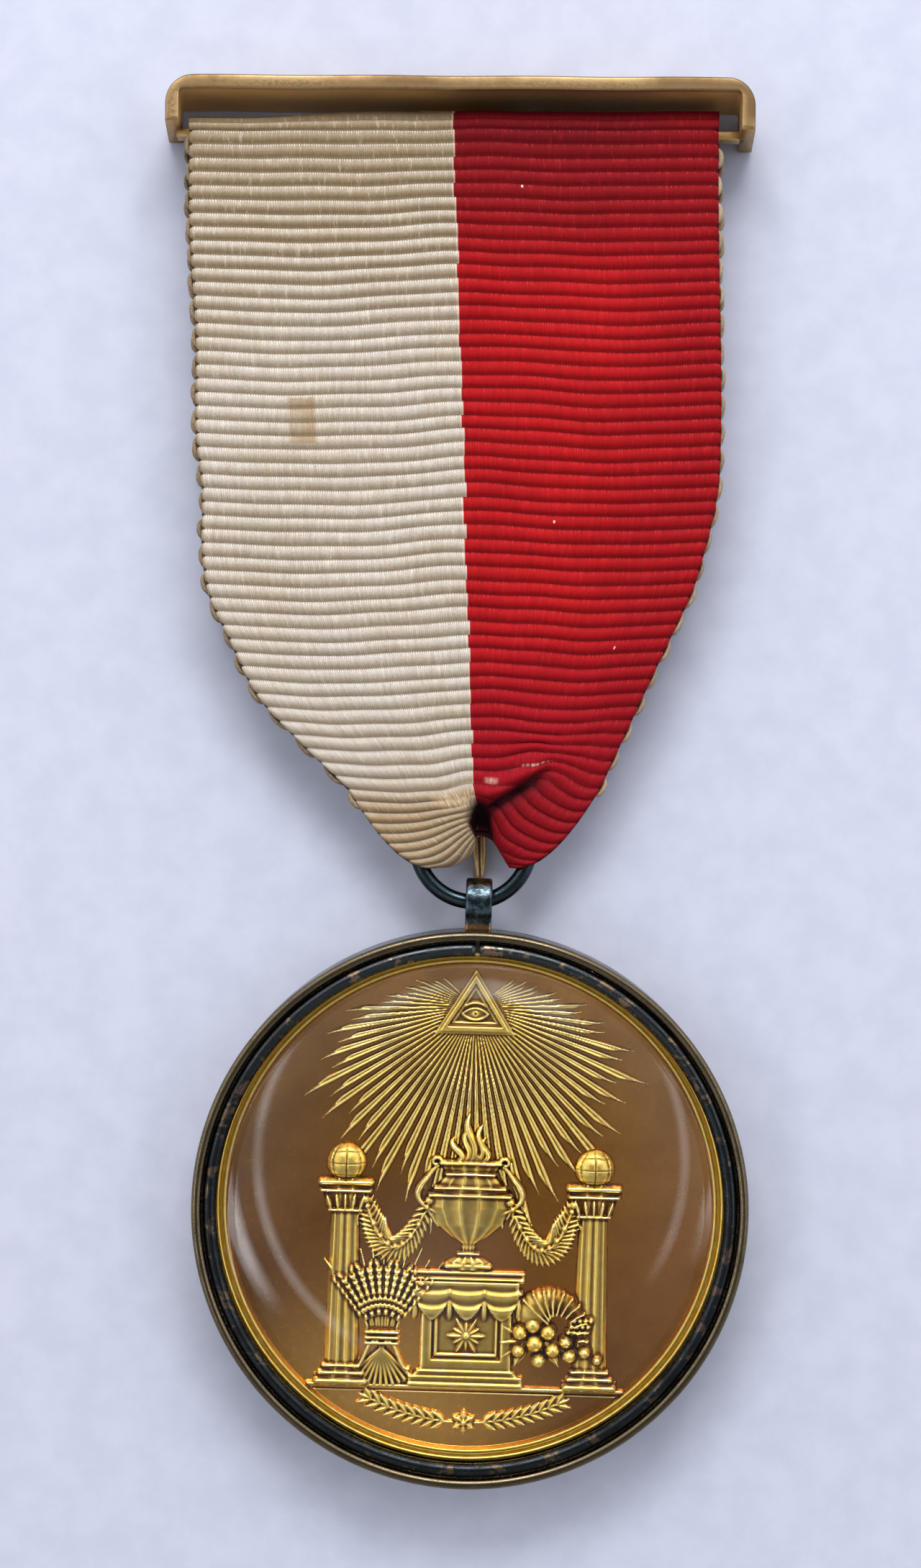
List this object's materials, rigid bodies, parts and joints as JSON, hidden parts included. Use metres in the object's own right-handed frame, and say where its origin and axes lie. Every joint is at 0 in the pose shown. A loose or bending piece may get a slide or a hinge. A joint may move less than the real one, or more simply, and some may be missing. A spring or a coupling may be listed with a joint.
{
  "type": "masonic jewel",
  "caption": "Round gilt medal with a relief in a glazed case, hung by a loop and ring from a ribbed two-colour ribbon on a narrow brooch bar with a split pin, lying face up.",
  "frame": {"origin": "middle of the case's flat back, on the surface that the jewel lies on", "axes": "+Z out of the jewel's face, +Y from the case up the ribbon to the bar, +X to the right as the face is seen"},
  "size_m": [0.042, 0.1011, 0.0074],
  "materials": {
    "case": "aged brass, dark brown patina",
    "medal": "gilt, satin field with bright relief",
    "glass": "clear, polished",
    "retaining_ring": "dark, worn",
    "suspension_ring": "blue-black patina",
    "ribbon": "ribbed silk, left half white and right half red",
    "brooch_bar": "tarnished brass, worn edges"
  },
  "bodies": {
    "root": {"case": "case", "medal": "medal", "glass": "glass", "retaining_ring": "retaining_ring", "suspension_ring": "suspension_ring", "ribbon": "ribbon", "brooch_bar": "brooch_bar"}
  },
  "joints": []
}
